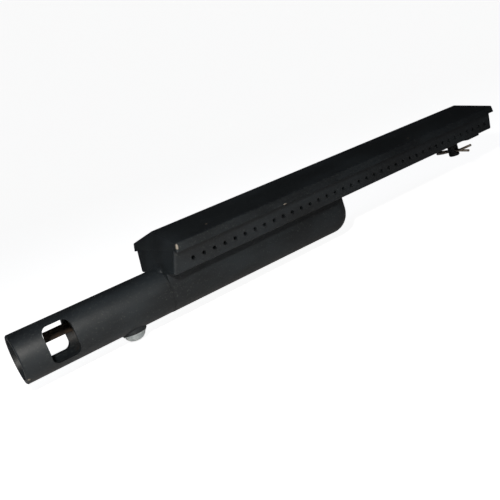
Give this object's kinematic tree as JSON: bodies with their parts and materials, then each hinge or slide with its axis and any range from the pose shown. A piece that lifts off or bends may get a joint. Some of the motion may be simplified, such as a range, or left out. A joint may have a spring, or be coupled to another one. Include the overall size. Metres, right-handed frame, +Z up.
{
  "type": "gas bar burner assembly",
  "caption": "Cast-iron bar burner for gas: a venturi tube with air windows and a sliding shutter feeds a long ported head under a gabled cap, with a cross-pinned mounting stud.",
  "frame": {"origin": "centre of the gas inlet, at the mouth of the venturi tube", "axes": "+X along the tube towards the ported head, +Z up towards the ridge of the cap, +Y across, the split pin's eye on that side"},
  "size_m": [0.4372, 0.072, 0.0622],
  "materials": {
    "body_iron": "as-cast, satin black heat-resistant paint",
    "cap_iron": "as-cast, satin black heat-resistant paint",
    "seal_fibre": "pressed fibre gasket",
    "cap_screw_steel": "black-oxide steel",
    "shutter_steel": "bare steel, brown with heat",
    "lock_screw_zinc": "zinc plated",
    "lock_washer_zinc": "zinc plated",
    "stud_steel": "steel, painted over with the casting",
    "pin_steel": "bare drawn wire, lightly browned"
  },
  "bodies": {
    "burner": {"burner_body": "body_iron", "burner_cap": "cap_iron", "cap_seal": "seal_fibre", "cap_screws": "cap_screw_steel", "mounting_stud": "stud_steel"},
    "shutter": {"shutter_sleeve": "shutter_steel"},
    "washer": {"lock_washer": "lock_washer_zinc"},
    "screw": {"lock_screw": "lock_screw_zinc"},
    "pin": {"split_pin": "pin_steel"}
  },
  "joints": [
    {"name": "shutter_slide", "type": "slide", "parent": "burner", "child": "shutter", "axis": [-1, 0, 0], "range_m": [0, 0.024]},
    {"name": "lock_feed", "type": "slide", "parent": "burner", "child": "washer", "axis": [0, 0, -1], "range_m": [0, 0.0025]},
    {"name": "lock_turn", "type": "hinge", "parent": "washer", "child": "screw", "pos_m": [0.0723, 0, -0.018], "axis": [0, 0, -1], "range_deg": [0, 720]},
    {"name": "pin_swivel", "type": "hinge", "parent": "burner", "child": "pin", "pos_m": [0.4143, 0, 0.0007], "axis": [0, 1, 0], "continuous": true}
  ],
  "couplings": [
    {"joint": "lock_turn", "follows": "lock_feed", "rad_per_m": 5026.5}
  ]
}
